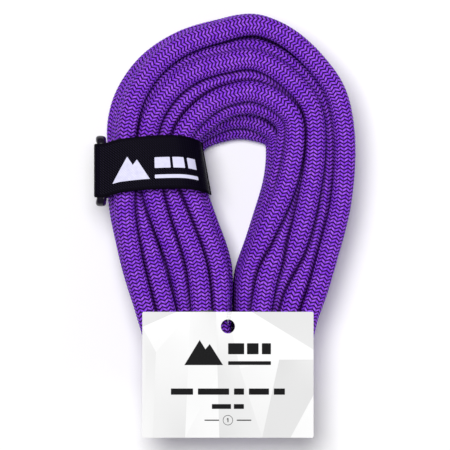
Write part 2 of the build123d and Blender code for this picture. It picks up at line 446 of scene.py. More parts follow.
class Paint:
    """Short calls that build one material's node tree."""

    def __init__(self, name):
        self.material = bpy.data.materials.new(name)
        self.material.use_nodes = True
        self.tree = self.material.node_tree
        self.shader = next(n for n in self.tree.nodes if n.type == "BSDF_PRINCIPLED")

    def put(self, socket, value):
        """A number, a colour or another node's output into a socket."""
        if isinstance(value, bpy.types.NodeSocket):
            self.tree.links.new(value, socket)
        else:
            socket.default_value = value

    def node(self, kind, inputs, **settings):
        """The outputs of a new node."""
        node = self.tree.nodes.new("ShaderNode" + kind)
        for name, value in settings.items():
            setattr(node, name, value)
        for name, value in inputs.items():
            self.put(node.inputs[name], value)
        return node.outputs

    def made(self, color, roughness, bump=None, **plain):
        """The finished material: a bump is its height from 0 to 1, depth in metres and strength."""
        if bump:
            bump = self.node("Bump", dict(zip(("Height", "Distance", "Strength"), bump)))[0]
            self.put(self.shader.inputs["Normal"], bump)
        self.put(self.shader.inputs["Base Color"], color)
        self.put(self.shader.inputs["Roughness"], roughness)
        for name, value in plain.items():
            self.shader.inputs[name.replace("_", " ")].default_value = value
        return self.material

    def math(self, kind, *values):
        """One Math node."""
        return self.node("Math", dict(enumerate(values)), operation=kind)[0]

    def ease(self, value, low, high, start=0.0, stop=1.0):
        """A value taken smoothly from one range to another."""
        inputs = dict(enumerate((value, low, high, start, stop)))
        return self.node("MapRange", inputs, interpolation_type="SMOOTHSTEP")[0]

    def mix(self, share, one, two):
        """Two colours mixed."""
        return self.node("Mix", {0: share, 6: one, 7: two}, data_type="RGBA")[2]

    def split(self, vector):
        """A vector's X, Y and Z."""
        return self.node("SeparateXYZ", {0: vector})[:3]

    def uv(self, layer):
        """The two coordinates of a UV layer."""
        return self.split(self.node("UVMap", {}, uv_map=layer)[0])[:2]

    def place(self):
        """The piece's own coordinates, which are the part's."""
        return self.node("TexCoord", {})["Object"]

    def attribute(self, name):
        """A number that the mesh carries."""
        return self.node("Attribute", {}, attribute_name=name)["Fac"]

    def vector(self, x, y, z=0.0):
        """Three values as a vector."""
        return self.node("CombineXYZ", {0: x, 1: y, 2: z})[0]

    def drawn(self, across, along):
        """The piece's coordinates scaled for streaks that run along Y."""
        parts = zip(self.split(self.place()), (across, along, across))
        return self.vector(*(self.math("MULTIPLY", value, scale) for value, scale in parts))

    def noise(self, scale, detail=2.0, roughness=0.5, vector=None):
        """Smooth noise from 0 to 1, in the piece's own coordinates unless others are given."""
        vector = vector or self.place()
        return self.node("TexNoise", {"Vector": vector, "Scale": scale, "Detail": detail, "Roughness": roughness})[0]

    def chance(self, vector):
        """An even random number for each whole-numbered cell."""
        return self.node("TexWhiteNoise", {"Vector": vector}, noise_dimensions="2D")[0]


class Strip:
    """A flat band that follows a route in the XZ plane: any place on it, from along, across and out."""

    def __init__(self, route, middle, warp):
        self.line = Line(np.stack([route[:, 0], 0 * route[:, 0], route[:, 1]], -1) * MM)
        self.length = self.line.length
        self.middle = middle
        self.warp = warp

    def at(self, along, across, out):
        """Points at a distance along the band, across it from its middle, and out from its centre surface."""
        along, across, out = np.broadcast_arrays(along, across, out)
        flat = along.reshape(-1)
        normal = np.cross(unit(between(flat, self.line.at, self.line.tangent)), (0, 1, 0))
        place = self.line.frame(flat)[0] + normal * out.reshape(-1)[:, None]
        place[:, 1] = self.middle + across.reshape(-1)
        return self.warp(place).reshape(*along.shape, 3)


def webbing(name, strip, width, thick, step=0.8 * MM, across=22):
    """A closed band with rounded edges, the whole length of a strip, with coordinates for its weave."""
    half, edge = width / 2 - thick / 2, thick / 2
    side = np.linspace(-half, half, across)
    turn = np.linspace(-math.pi / 2, math.pi / 2, 5)[1:-1]
    y = np.concatenate([side, half + edge * np.cos(turn), side[::-1], -half - edge * np.cos(turn)])
    out = np.concatenate([np.full(across, -edge), edge * np.sin(turn), np.full(across, edge), -edge * np.sin(turn)])
    rings = int(strip.length / step) + 1
    along = np.linspace(0, strip.length, rings)[:, None]
    band, _ = grid_mesh(name, strip.at(along, y[None], out[None]).reshape(-1, 3), rings, len(y))
    flat = np.stack(np.broadcast_arrays(along, y[None]), -1).reshape(-1, 2)
    flat = np.concatenate([flat, [[0, 0], [strip.length, 0]]])
    corners = np.zeros(len(band.data.loops), np.int32)
    band.data.loops.foreach_get("vertex_index", corners)
    band.data.uv_layers.new(name="weave").data.foreach_set("uv", flat[corners].astype(np.float32).reshape(-1))
    return band


def cut_flat(loops, lines=(), extra=()):
    """Triangles inside closed loops, cut along closed lines and through extra points: corners and faces."""
    points, edges = [], []
    for loop in (*loops, *lines):
        base = len(points)
        points += loop
        edges += [(base + k, base + (k + 1) % len(loop)) for k in range(len(loop))]
    points = [Vector(p) for p in (*points, *extra)]
    made, _, faces, _, _, _ = delaunay_2d_cdt(points, edges, [], 0, 1e-7)
    flat = np.array([tuple(p) for p in made])
    return flat, [f for f in faces if inside(flat[list(f)].mean(0), loops)]


def sheet_between(name, outline, holes, lift, thick, surface, cell=None):
    """A thin closed sheet with this outline and holes, in a surface's own two directions."""
    loops = [divided(loop, cell) if cell else list(loop) for loop in (outline, *holes)]
    extra = []
    if cell:
        (x0, y0), (x1, y1) = np.min(outline, axis=0), np.max(outline, axis=0)
        extra = [p for p in product(np.arange(x0 + cell, x1, cell), np.arange(y0 + cell / 2, y1, cell))
                 if inside(p, loops) and nearest_edge(p, loops) > 0.3 * cell]
    return closed_sheet(name, *cut_flat(loops, extra=extra), lift, thick, surface)


def divided(loop, longest):
    """A closed outline with its long sides cut into shorter ones."""
    made = []
    for one, two in sides(loop):
        count = max(1, math.ceil(math.dist(one, two) / longest))
        made += [tuple(a + (b - a) * k / count for a, b in zip(one, two)) for k in range(count)]
    return made


def closed_sheet(name, flat, faces, lift, thick, surface):
    """Top, bottom and walls from flat triangles."""
    count = len(flat)
    top, bottom = (surface(flat[:, 0], flat[:, 1], np.full(count, z)) for z in (lift + thick, lift))
    uses = dict.fromkeys(pair for face in faces for pair in sides(face))
    walls = [(two, one, one + count, two + count) for one, two in uses if (two, one) not in uses]
    under = [tuple(k + count for k in reversed(face)) for face in faces]
    thing = mesh_object(name, np.concatenate([top, bottom]), [*faces, *under, *walls], smooth=False)
    work = bmesh.new()
    work.from_mesh(thing.data)
    bmesh.ops.delete(work, geom=[v for v in work.verts if not v.link_faces], context="VERTS")
    bmesh.ops.recalc_face_normals(work, faces=work.faces)
    work.to_mesh(thing.data)
    work.free()
    return thing


def inside(point, loops):
    """True if a flat point is inside an odd number of loops."""
    x, y = point
    crossed = [(y1 > y) != (y2 > y) and x < x1 + (y - y1) * (x2 - x1) / (y2 - y1)
               for loop in loops for (x1, y1), (x2, y2) in sides(loop)]
    return sum(crossed) % 2 == 1


def nearest_edge(point, loops):
    """Distance from a flat point to the nearest side of the loops."""
    best = math.inf
    for one, two in (pair for loop in loops for pair in sides(loop)):
        run, reach = np.subtract(two, one), np.subtract(point, one)
        share = np.clip(np.dot(reach, run) / max(np.dot(run, run), 1e-18), 0, 1)
        best = min(best, float(np.linalg.norm(reach - share * run)))
    return best


def circle(x, y, radius, count=40):
    """Corners of a circle."""
    return [(x + radius * math.cos(2 * math.pi * k / count), y + radius * math.sin(2 * math.pi * k / count))
            for k in range(count)]


def bar(x, y, length, height, corner=0.3, count=4):
    """Corners of a bar with rounded corners, centred on a point."""
    corner = min(corner * MM, height * 0.49)
    points = []
    for quarter, (right, top) in enumerate(((1, 1), (-1, 1), (-1, -1), (1, -1))):
        cx, cy = x + (length / 2 - corner) * right, y + (height / 2 - corner) * top
        for k in range(count + 1):
            angle = math.pi / 2 * (quarter + k / count)
            points.append((cx + corner * math.cos(angle), cy + corner * math.sin(angle)))
    return points


def joined(name, things):
    """Several meshes as one object."""
    work = bmesh.new()
    for thing in things:
        work.from_mesh(thing.data)
        bpy.data.objects.remove(thing)
    mesh = bpy.data.meshes.new(name)
    work.to_mesh(mesh)
    work.free()
    return linked(name, mesh)


# a direction that no thread runs along
THREAD_SIDE = (0.31, 0.52, 0.79)


def threads(name, paths, radius, around=6):
    """Many small round threads as one mesh: each path is a row of points, and the ends are drawn in."""
    paths = np.asarray(paths, float)
    tangent = unit(np.gradient(paths, axis=1))
    side = unit(np.cross(tangent, THREAD_SIDE))
    upward = np.cross(tangent, side)
    size = np.full(paths.shape[1], radius)
    size[[0, -1]] *= 0.55
    angle = (2 * math.pi * np.arange(around) / around)[:, None]
    circles = np.cos(angle) * side[:, :, None] + np.sin(angle) * upward[:, :, None]
    verts = (paths[:, :, None] + size[:, None, None] * circles).reshape(-1, 3)
    faces = []
    for base in range(0, len(verts), len(size) * around):
        far = base + (len(size) - 1) * around
        for here in range(base, far, around):
            after = here + around
            faces += [(here + k, here + (k + 1) % around, after + (k + 1) % around, after + k) for k in range(around)]
        faces += [range(base + around - 1, base - 1, -1), range(far, far + around)]
    return mesh_object(name, verts, faces)


def turned(name, line, profile, around=48, closed=False, ripple=None):
    """A round piece along a line: its profile is rows of distance and radius."""
    distance, radius = (np.repeat(np.array(column, float)[:, None], around, axis=1) for column in zip(*profile))
    angle = 2 * math.pi * np.arange(around)[None] / around
    if ripple is not None:
        radius = radius + ripple(distance, angle)
    verts = line.surface(distance, radius, angle).reshape(-1, 3)
    return grid_mesh(name, verts, len(profile), around, caps=not closed, closed=closed)[0]


def dress(thing, material, body, slot, *nodes):
    """Gives a piece its material and the body it moves with, and hides the CAD nodes it stands for; slot is not used.
    """
    thing.data.materials.clear()
    thing.data.materials.append(material)
    if body:
        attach(thing, body)
    if nodes:
        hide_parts(*nodes)
    return thing


# materials

INK = (0.0025, 0.0025, 0.003, 1)
FLOAT_PALE = (0.42, 0.115, 1.0, 1)
FLOAT_DARK = (0.27, 0.05, 0.88, 1)
FLOAT_FIBRE = (0.12, 0.008, 0.42, 1)
# painted shade: near-black violet for the gaps between the braid's floats
PAINTED_GAP_SHADE = (0.012, 0.0004, 0.03, 1)
TWILL = 1.25 * MM
SELVEDGE_RIB = 0.5 * MM
WEBBING_HALF = 13.3 * MM


def sheath_material():
    """Violet polyamide braid: floats of fine parallel fibres, with painted shade in the gaps between them and between
    strands that touch.
    """
    paint = Paint("violet_braid")
    calc = paint.math
    column, row = paint.uv("braid")
    shifted = calc("SUBTRACT", row, calc("MULTIPLY", calc("PINGPONG", column, 1.0), ZIGZAG))
    phase, yarn_row = calc("FRACT", shifted), calc("FLOOR", shifted)
    crest = paint.ease(calc("ABSOLUTE", calc("SUBTRACT", phase, 0.5)), 0.17, 0.4, 1.0, 0.0)
    beside = calc("ABSOLUTE", calc("SUBTRACT", calc("FRACT", column), 0.5))
    dive = paint.ease(beside, 0.24, 0.5, 1.0, 0.0)
    yarn = paint.chance(paint.vector(calc("FLOOR", column), yarn_row))
    fibre_place = paint.vector(calc("MULTIPLY", phase, 9.0), calc("MULTIPLY", column, 0.7), yarn_row)
    fibre = paint.noise(2.2, 3.0, 0.6, fibre_place)
    # painted shade: where a float is low, between rows and where the yarn dives at a column's edge, the colour goes to
    # the gap colour; the same mask is the bump's height
    full = calc("MULTIPLY", crest, calc("MULTIPLY_ADD", dive, 0.55, 0.45))
    light = paint.mix(yarn, FLOAT_DARK, FLOAT_PALE)
    light = paint.mix(paint.ease(fibre, 0.3, 0.7, 0.0, 0.35), light, FLOAT_FIBRE)
    # the 'free' attribute takes the colour towards the gap colour: painted shade between strands that touch
    free = paint.ease(paint.attribute("free"), 0.0, 1.0, 0.1, 1.0)
    color = paint.mix(calc("MULTIPLY", full, free), PAINTED_GAP_SHADE, light)
    height = calc("MULTIPLY_ADD", fibre, 0.25, full)
    return paint.made(color, paint.ease(fibre, 0.2, 0.8, 0.42, 0.62), (height, 0.25 * MM, 0.7), Sheen_Weight=0.01,
                      Sheen_Roughness=0.4, Sheen_Tint=(0.4, 0.1, 1, 1), Specular_IOR_Level=0.05)


def core_material():
    """White core yarns, laid along the rope with a slow twist."""
    paint = Paint("core_yarn")
    strand = paint.noise(1.0, 4.0, 0.65, paint.drawn(1500.0, 260.0))
    color = paint.mix(paint.ease(strand, 0.35, 0.65), (0.55, 0.54, 0.52, 1), (0.9, 0.89, 0.87, 1))
    return paint.made(color, paint.ease(strand, 0.2, 0.8, 0.6, 0.9), (strand, 0.3 * MM, 0.8))


def sleeve_material():
    """Clear shrink sleeve, slightly milky, with faint creases."""
    paint = Paint("clear_shrink_sleeve")
    haze = paint.noise(260.0, 3.0, 0.5)
    color = paint.mix(haze, (0.82, 0.85, 0.88, 1), (0.96, 0.97, 0.98, 1))
    return paint.made(color, paint.ease(haze, 0.3, 0.7, 0.12, 0.32),
                      (paint.noise(900.0, 3.0, 0.6), 0.12 * MM, 0.35), Transmission_Weight=0.9, IOR=1.45)


def weave(paint, pitch, half):
    """Height of the twill threads and where the selvedge is, for coordinates in metres along and across a band."""
    calc = paint.math
    along, across = paint.uv("weave")
    a, b = calc("DIVIDE", along, pitch), calc("DIVIDE", across, pitch)
    ridge = calc("SINE", calc("MULTIPLY", calc("FRACT", calc("ADD", a, b)), math.pi))
    step = calc("SINE", calc("MULTIPLY", calc("FRACT", a), math.pi))
    edge = paint.ease(calc("ABSOLUTE", across), half - 1.5 * MM, half - 1.2 * MM)
    body = calc("MULTIPLY", ridge, calc("MULTIPLY_ADD", step, 0.4, 0.6))
    rib = calc("MULTIPLY_ADD", calc("SINE", calc("MULTIPLY", across, 2 * math.pi / SELVEDGE_RIB)), 0.3, 0.5)
    inner = calc("MULTIPLY", body, calc("SUBTRACT", 1.0, edge))
    return calc("ADD", inner, calc("MULTIPLY", rib, edge)), edge


def webbing_material():
    """Black satin-woven webbing with a ribbed selvedge, a soft bluish sheen, faint wear and painted highlights on the
    tops of its twill ridges.
    """
    paint = Paint("black_webbing")
    height, edge = weave(paint, TWILL, WEBBING_HALF)
    wear = paint.noise(130.0, 4.0, 0.6)
    # painted highlight: the tops of the twill ridges are lighter in colour
    painted_ridge_highlight = paint.math("POWER", height, 2.4)
    dark = paint.mix(painted_ridge_highlight, (0.0001, 0.0001, 0.0004, 1), (0.0095, 0.0068, 0.020, 1))
    dark = paint.mix(paint.ease(wear, 0.55, 0.8, 0.0, 0.25), dark, (0.0085, 0.0062, 0.016, 1))
    color = paint.mix(paint.math("MULTIPLY", edge, 0.5), dark, (0.003, 0.002, 0.005, 1))
    return paint.made(color, paint.ease(height, 0.0, 1.0, 0.6, 0.34), (height, 0.14 * MM, 0.8), Sheen_Weight=0.005,
                      Sheen_Roughness=0.35, Sheen_Tint=(0.5, 0.4, 1, 1), Specular_IOR_Level=0.02)


def strap_ink_material():
    """White ink pressed into the webbing, a little worn on its high threads."""
    paint = Paint("strap_ink")
    x, y, _ = paint.split(paint.place())
    worn = paint.noise(520.0, 4.0, 0.65)
    stripe = paint.math("SINE", paint.math("MULTIPLY", paint.math("ADD", x, y), 2 * math.pi / TWILL))
    color = paint.mix(paint.ease(worn, 0.5, 0.85, 0.0, 0.3), (0.62, 0.61, 0.80, 1), (0.36, 0.34, 0.5, 1))
    return paint.made(color, paint.ease(worn, 0.3, 0.7, 0.45, 0.7), (stripe, 0.05 * MM, 0.6))


def ring_material():
    """Black moulded plastic, glossy, with fine flow marks and rubbed corners."""
    paint = Paint("ring_plastic")
    flow = paint.noise(1.0, 3.0, vector=paint.drawn(500.0, 60.0))
    rub = paint.noise(380.0, 5.0, 0.65)
    color = paint.mix(paint.ease(rub, 0.55, 0.8), (0.005, 0.003, 0.010, 1), (0.022, 0.018, 0.032, 1))
    return paint.made(color, paint.ease(flow, 0.3, 0.7, 0.14, 0.28), (flow, 0.06 * MM, 0.4), Specular_IOR_Level=0.35)


def mottled(name, grain, share, low, high, gloss, bump=None, **plain):
    """A material whose colour, roughness and bump follow one noise: its scale, detail and roughness are the grain."""
    paint = Paint(name)
    spots = paint.noise(*grain)
    color = paint.mix(paint.ease(spots, *share) if share else spots, low, high)
    return paint.made(color, paint.ease(spots, 0.3, 0.7, *gloss), bump and (spots, *bump), **plain)


def card_material():
    """Smooth coated card: pale facets printed on white, with a trace of paper grain."""
    paint = Paint("coated_card")
    grain = paint.noise(2600.0, 3.0, 0.6)
    mottle = paint.noise(60.0)
    tone = paint.mix(paint.attribute("tone"), (0.58, 0.58, 0.58, 1), (0.83, 0.83, 0.83, 1))
    color = paint.mix(paint.ease(mottle, 0.3, 0.7, 0.0, 0.03), tone, (0.6, 0.6, 0.62, 1))
    return paint.made(color, paint.ease(grain, 0.3, 0.7, 0.42, 0.55), (grain, 0.02 * MM, 0.25), Specular_IOR_Level=0.2)


# camera, straight above, and the rope

VIEW_HEIGHT = 1.3
VIEW_WIDTH = 0.225
VIEW_LEVEL = 38 * MM


def make_camera():
    """Camera over the hank, with +Y up in its picture."""
    data = bpy.data.cameras.new("camera")
    data.sensor_width = 36
    data.lens = data.sensor_width * (VIEW_HEIGHT - VIEW_LEVEL) / VIEW_WIDTH
    camera = linked("camera", data)
    camera.location = (0.25 * MM, 0, VIEW_HEIGHT)
    bpy.context.scene.camera = camera


def roll(distance):
    """How far the braid turns about the rope, in radians: a little and unevenly."""
    wander = 0.5 * np.sin(distance * 9.1) + 0.35 * np.sin(distance * 23.7 + 1.3)
    return TWIST_PER_M * distance + wander


make_camera()
rope_line = Line(nurbs_line("rope_route", coil_route()))
rope, centres = braided_rope("rope", rope_line, roll)
dress(rope, sheath_material(), "hank", "rope_sheath", "rope_hank", "end_a_sheath", "end_b_sheath")


# rope ends

def creases(distance, angle):
    """Small waves where the sleeve has shrunk over the braid."""
    return 0.05 * MM * np.sin(9 * angle + 900 * distance) * np.sin(1400 * distance)


def lumps(distance, angle):
    """Uneven edge of a melted end."""
    return 0.16 * MM * (np.sin(3 * angle + 1) + 0.6 * np.sin(7 * angle))


def rope_end(letter, at, outward):
    """Sleeve, sealed tip and core at one end of the rope; at is where the rope stops, and outward is -1 or 1."""
    def piece(kind, node, look, slot, rows, **options):
        rows = [(at - outward * distance, radius) for distance, radius in rows]
        thing = turned(f"end_{letter}_{kind}", rope_line, rows, **options)
        return dress(thing, paints[look], "hank", slot, f"end_{letter}_{node}")

    inner = ROPE_R + 0.03 * MM
    outer = inner + SLEEVE_WALL
    rim = 0.12 * MM
    steps = [(distance, outer) for distance in np.linspace(rim, SLEEVE_L - rim, 25)]
    steps = [(0, outer - rim), *steps, (SLEEVE_L, outer - rim), (SLEEVE_L, inner), (0, inner)]
    bulge = [(-d * MM, r * (ROPE_R - 0.1 * MM)) for d, r in TIP_PROFILE]
    yarn = [(0, CORE_R - 0.3 * MM), (0.4 * MM, CORE_R), (CORE_L, CORE_R), (CORE_L + 0.4 * MM, CORE_R - 0.3 * MM)]
    return [piece("sleeve_skin", "sleeve", "sleeve", "shrink_sleeve", steps, closed=True, ripple=creases),
            piece("melted_tip", "sealed_tip", "tip", "sealed_tip", bulge, ripple=lumps),
            piece("core_yarn", "core", "core", "rope_core", yarn)]


paints = {
    "sleeve": sleeve_material(), "core": core_material(), "webbing": webbing_material(),
    "strap_ink": strap_ink_material(), "ring": ring_material(), "card": card_material(),
    "tip": mottled("melted_tip", (420.0, 4.0, 0.6), (0.35, 0.7), (0.02, 0.004, 0.06, 1), (0.09, 0.03, 0.26, 1),
                   (0.18, 0.5), (0.5 * MM, 0.6)),
    "ink": mottled("card_ink", (900.0, 3.0, 0.6), (0.4, 0.8), INK, (0.009, 0.009, 0.01, 1), (0.4, 0.55),
                   Specular_IOR_Level=0.06),
    "nylon": mottled("clear_nylon", (1400.0, 2.0, 0.5), None, (0.93, 0.94, 0.96, 1), (0.99, 0.99, 1, 1),
                     (0.04, 0.12), Transmission_Weight=1.0, IOR=1.4),
}
for look, name, low, high, scale, rough in (
        ("thread", "black_thread", (0.006, 0.006, 0.008, 1), (0.035, 0.033, 0.045, 1), 2400.0, 0.5),
        ("pile", "loop_pile", (0.006, 0.006, 0.008, 1), (0.04, 0.038, 0.048, 1), 1800.0, 0.7),
        ("hooks", "hook_plastic", (0.008, 0.008, 0.01, 1), (0.03, 0.03, 0.035, 1), 1200.0, 0.3)):
    paints[look] = mottled(name, (scale, 4.0, 0.7), (0.35, 0.7), low, high, (rough, rough + 0.25), (0.15 * MM, 0.8),
                           Sheen_Weight=0.1, Sheen_Roughness=0.5)
on_rope = rope_end("a", 0.0, -1) + rope_end("b", rope_line.length, 1)


# strap: the places of its CAD nodes, in mm

band_low, band_high = (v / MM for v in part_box("strap_band"))
flap_low, flap_high = (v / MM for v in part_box("strap_flap"))
ring_low, ring_high = (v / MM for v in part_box("strap_ring"))
tab_low, tab_high = (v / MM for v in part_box("flap_tab"))
hook_low, hook_high = (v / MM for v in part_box("hook_patch"))
loop_low, loop_high = (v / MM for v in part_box("loop_patch"))
STRAP_T = 1.6
STRAP_MID = (flap_low.y + flap_high.y) / 2 - 0.5
STRAP_W = flap_high.y - flap_low.y + 1.1
RING_WIRE = 4.0
RING_CORNER = 3.0
HEM_T = 1.0
FOLD_R = 2.9
BAR_X = (ring_low.x + ring_high.x) / 2
BAR_UPPER = ring_high.z - RING_WIRE / 2
BAR_LOWER = ring_low.z + RING_WIRE / 2
FLAP_MID_Z = flap_high.z - STRAP_T / 2
FLAP_MID_X = flap_high.x - STRAP_T / 2
BAND_TOP = loop_low.z - STRAP_T / 2
BAND_RIGHT = band_high.x - STRAP_T / 2
BAND_BOTTOM = band_low.z + STRAP_T / 2
BAND_LEFT = BAR_X + FOLD_R

# threads, in mm: along or across the strap, and height
THREAD_R = 0.3 * MM
STITCHES = 8
STITCH_PITCH = 2.9
STITCH = ((-1.2, -0.25), (-0.95, 0.1), (-0.5, 0.22), (0, 0.26), (0.5, 0.22), (0.95, 0.1), (1.2, -0.25))
HOOK = ((0, 0.2), (0, 0.42), (0.08, 0.58), (0.24, 0.66), (0.38, 0.56))
LOOP = ((-1, 0.15), (-1.15, 0.34), (-0.6, 0.52), (0, 0.58), (0.6, 0.52), (1.15, 0.34), (1, 0.15))

# print: a plain mountain, blocks as middle, row, length and height, and the digit 1
PEAK = [(-17, -5), (-10.9, 5), (-8.6, 1.3), (-6.9, 3.4), (-1.6, -5)]
BLOCKS = [(3.6, 1.5, 6.4, 4.4), (10.2, 1.5, 4.6, 4.4), (15.6, 1.5, 3.6, 4.4), (8.9, -4.2, 17, 1.5)]
DIGIT = [(-0.2, -1), (0.25, -1), (0.25, 1.05), (-0.1, 1.05), (-0.65, 0.6), (-0.4, 0.3), (-0.2, 0.5)]


def rounded(corners, radii, step=0.5):
    """A path of straight runs and arcs in XZ, as points a step apart, in mm."""
    corners = np.array(corners, float)
    path = [corners[0]]
    for before, corner, after, radius in zip(corners, corners[1:], corners[2:], radii):
        into, away = unit(corner - before), unit(after - corner)
        turn = math.acos(float(np.clip(into @ away, -1, 1)))
        reach = radius * math.tan(turn / 2)
        centre = corner - into * reach + unit(away - into * (into @ away)) * radius
        start = corner - into * reach - centre
        for angle in np.linspace(0, turn, 13):
            path.append(centre + start * math.cos(angle) + into * radius * math.sin(angle))
    path = np.array([*path, corners[-1]])
    at = measured(path)
    return between(np.linspace(0, at[-1], int(at[-1] / step) + 1), at, path)


BOW = 3.3
BOW_AT = -24.0
LEFT_DROP = 1.0
SLANT = 0.18
CROWN = 1.8


def strap_pull(place):
    """The strap's pull: it bows towards the arch in front, slants with the leg's inner side and crowns a little."""
    x, y, z = place.T / MM
    reach = np.where(x < BOW_AT, 36.0, 16.0)
    bow = BOW * (1 - np.minimum(1, ((x - BOW_AT) / reach) ** 2)) - LEFT_DROP * np.clip((-52 - x) / 8, 0, 1)
    slant = np.clip((x + 40) / 25, 0, 1)
    slant = -SLANT * (y - STRAP_MID) * slant * slant * (3 - 2 * slant)
    crown = CROWN * np.clip((z - 40) / 5, 0, 1) * np.clip(1 - ((x + 36) / 24) ** 2, 0, 1)
    return place + np.stack([slant, bow, crown], -1) * MM


def strip(corners, radii):
    """A strap run along a rounded path in XZ, in mm."""
    return Strip(rounded(corners, radii), STRAP_MID * MM, strap_pull)


EYE_X = BAR_X - FOLD_R
EYE_BEND = 2.85
SEWN_BEND = 3.0
LEG_CORNER = 10.8
FLAP_CORNER = 12.5
HEM_BEND = 0.55
HEM_INNER = FLAP_MID_X - 0.25
HEM_OUTER = FLAP_MID_X + 0.9
band_strip = strip(
    [(-59.9, BAR_LOWER - 22), (-59.9, BAR_LOWER - 9.5), (EYE_X, BAR_LOWER - 3.5), (EYE_X, BAR_LOWER + FOLD_R),
     (BAND_LEFT, BAR_LOWER + FOLD_R), (BAND_LEFT, BAND_BOTTOM), (BAND_RIGHT, BAND_BOTTOM), (BAND_RIGHT, BAND_TOP),
     (-50, BAND_TOP), (-56.4, BAR_UPPER - FOLD_R), (EYE_X, BAR_UPPER - FOLD_R), (EYE_X, BAR_UPPER)],
    [SEWN_BEND, SEWN_BEND, EYE_BEND, EYE_BEND, LEG_CORNER, LEG_CORNER, LEG_CORNER, SEWN_BEND, 2.0, EYE_BEND])
flap_strip = strip([(EYE_X, BAR_UPPER), (EYE_X, FLAP_MID_Z), (FLAP_MID_X, FLAP_MID_Z), (FLAP_MID_X, flap_low.z)],
                   [EYE_BEND, FLAP_CORNER])
hem_strip = strip([(HEM_INNER, flap_low.z), (HEM_INNER, tab_low.z + 0.5), (HEM_OUTER, tab_low.z + 0.5),
                   (HEM_OUTER, tab_high.z)], [HEM_BEND, HEM_BEND])


def near_x(route, x, z):
    """Distance along a strip to the place nearest a point in XZ, in metres."""
    gap = np.abs(route.line.points[:, 0] - x * MM) + np.abs(route.line.points[:, 2] - z * MM)
    return float(route.line.at[int(np.argmin(gap))])


def make_strap():
    """Band, flap and hem."""
    width = STRAP_W * MM
    band = webbing("strap_webbing", band_strip, width, STRAP_T * MM)
    dress(band, paints["webbing"], "hank", "webbing", "strap_band")
    flap = webbing("flap_webbing", flap_strip, width, STRAP_T * MM)
    dress(flap, paints["webbing"], None, "webbing", "strap_flap")
    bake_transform(flap)
    hem = webbing("flap_hem", hem_strip, width, HEM_T * MM, step=0.35 * MM)
    dress(hem, paints["webbing"], "flap", "webbing", "flap_tab")


def squarish(values):
    """Sines or cosines of a rounded square bar, at its half width."""
    return np.sign(values) * np.abs(values) ** 0.72 * RING_WIRE / 2


def make_ring():
    """Rectangular ring of squarish bar with soft corners."""
    y0, y1 = ring_low.y + RING_WIRE / 2, ring_high.y - RING_WIRE / 2
    middle = (y0 + y1) / 2
    path = rounded([(middle, BAR_LOWER), (y1, BAR_LOWER), (y1, BAR_UPPER), (y0, BAR_UPPER), (y0, BAR_LOWER),
                    (middle, BAR_LOWER)], [RING_CORNER] * 4)[:-1]
    tangent = unit(np.roll(path, -1, axis=0) - np.roll(path, 1, axis=0))
    around = 28
    angle = 2 * math.pi * np.arange(around)[None] / around
    out, over = squarish(np.cos(angle)), squarish(np.sin(angle))
    y = path[:, :1] + tangent[:, 1:] * out
    z = path[:, 1:] - tangent[:, :1] * out
    flare = np.clip((np.abs(path[:, :1] - middle) - (y1 - y0) / 2 + RING_CORNER) / RING_CORNER, 0, 1)
    x = BAR_X - 0.6 * flare + over * (1 + 0.2 * flare)
    verts = strap_pull(np.stack([x, y, z], -1).reshape(-1, 3) * MM)
    ring, _ = grid_mesh("strap_bar_ring", verts, len(path), around, caps=False, closed=True)
    dress(ring, paints["ring"], "hank", "ring", "strap_ring")


def stitch_row(route, along, out):
    """Paths of a row of stitches across a strip: each dips into the webbing at its ends."""
    return [[route.at(along * MM, (y + dy) * MM, (out + lift) * MM) for dy, lift in STITCH]
            for y in (np.arange(STITCHES) - (STITCHES - 1) / 2) * STITCH_PITCH]


def make_stitches():
    """Thread at the sewn eye and across the hem."""
    eye = [path for along in (2.0, 9.5) for path in stitch_row(band_strip, along, STRAP_T / 2)]
    dress(threads("eye_thread", eye, THREAD_R), paints["thread"], "hank", "thread", "eye_stitches")
    hem = stitch_row(hem_strip, hem_strip.length / MM - 2.0, HEM_T / 2)
    dress(threads("hem_thread", hem, THREAD_R), paints["thread"], "flap", "thread", "tab_stitches")


def make_closure():
    """Hooks under the flap and loops on the band: each is a thin backing with its own field of threads."""
    random = np.random.default_rng(11)
    half = (hook_high.y - hook_low.y) / 2 * MM
    face = -STRAP_T / 2 * MM

    def spots(low, high, margin, pitch):
        end = 0.5 * MM
        return product(np.arange(low + margin, high - end, pitch), np.arange(margin - half, half - end, pitch))

    def lay(name, strip, low, high, backing, field, look, body, slot, node):
        outline = [(low, -half), (high, -half), (high, half), (low, half)]
        back = sheet_between(f"{name}_backing", outline, [], face - backing, backing, strip.at, cell=2.5 * MM)
        dress(joined(name, [back, field]), paints[look], body, slot, node)

    low, high = near_x(flap_strip, hook_low.x, FLAP_MID_Z), near_x(flap_strip, hook_high.x, FLAP_MID_Z)
    hooks = [[flap_strip.at(a + da * MM, b, face - h * MM) for da, h in HOOK]
             for a, b in spots(low, high, 0.8 * MM, 1.25 * MM)]
    field = threads("hooks", hooks, 0.11 * MM, 5)
    lay("hook_field", flap_strip, low, high, 0.3 * MM, field, "hooks", "flap", "hook_field", "hook_patch")

    low, high = near_x(band_strip, loop_high.x, BAND_TOP), near_x(band_strip, loop_low.x, BAND_TOP)
    loops = []
    for a, b in spots(low, high, 0.6 * MM, 0.95 * MM):
        turn, size = random.uniform(0, math.pi), random.uniform(0.75, 1.2)
        da, db = math.cos(turn) * 0.42 * size * MM, math.sin(turn) * 0.42 * size * MM
        a, b = a + random.normal(0, 0.12 * MM), b + random.normal(0, 0.12 * MM)
        loops.append([band_strip.at(a + k * da, b + k * db, face - h * size * MM) for k, h in LOOP])
    field = threads("loops", loops, 0.08 * MM, 4)
    lay("loop_pile", band_strip, low, high, 0.25 * MM, field, "pile", "hank", "loop_pile", "loop_patch")


